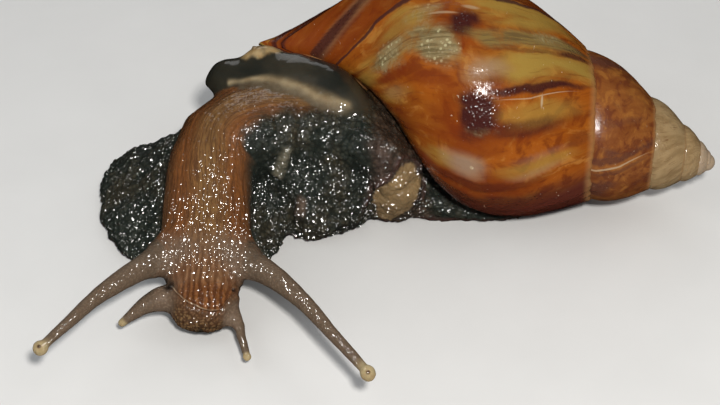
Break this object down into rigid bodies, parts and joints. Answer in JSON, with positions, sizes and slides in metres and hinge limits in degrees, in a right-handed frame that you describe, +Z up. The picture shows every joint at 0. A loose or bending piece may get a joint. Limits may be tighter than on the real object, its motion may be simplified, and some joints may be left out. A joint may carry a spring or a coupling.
{
  "type": "giant african land snail model",
  "caption": "Still model of a land snail: a tall right-handed spiral shell, a foot flat on the floor and a bent neck stretched forward, with long and short feelers.",
  "frame": {"origin": "on the floor, on the flat underside of the front of the foot", "axes": "+Z up from the floor, -Y the way the head points, +X towards the tip of the shell"},
  "size_m": [0.1181, 0.0906, 0.0426],
  "materials": {
    "shell": "glossy amber shell with dark red-brown and cream flames, worn pale towards the tip",
    "skin": "wet granular skin, brown and streaked on the neck, dark green-grey on the foot and mantle",
    "eye": "glossy near-black"
  },
  "bodies": {
    "root": {"shell": "shell", "mantle_collar": "skin", "mantle_fold": "skin", "mantle_edge": "skin", "trunk": "skin", "neck": "skin", "head": "skin", "snout": "skin", "front_foot_left": "skin", "front_foot_right": "skin", "flank_left": "skin", "flank_right": "skin", "rear_lobe": "skin", "tail": "skin", "upper_feeler_left": "skin", "eye_left": "eye", "lower_feeler_left": "skin", "upper_feeler_right": "skin", "eye_right": "eye", "lower_feeler_right": "skin"}
  },
  "joints": []
}
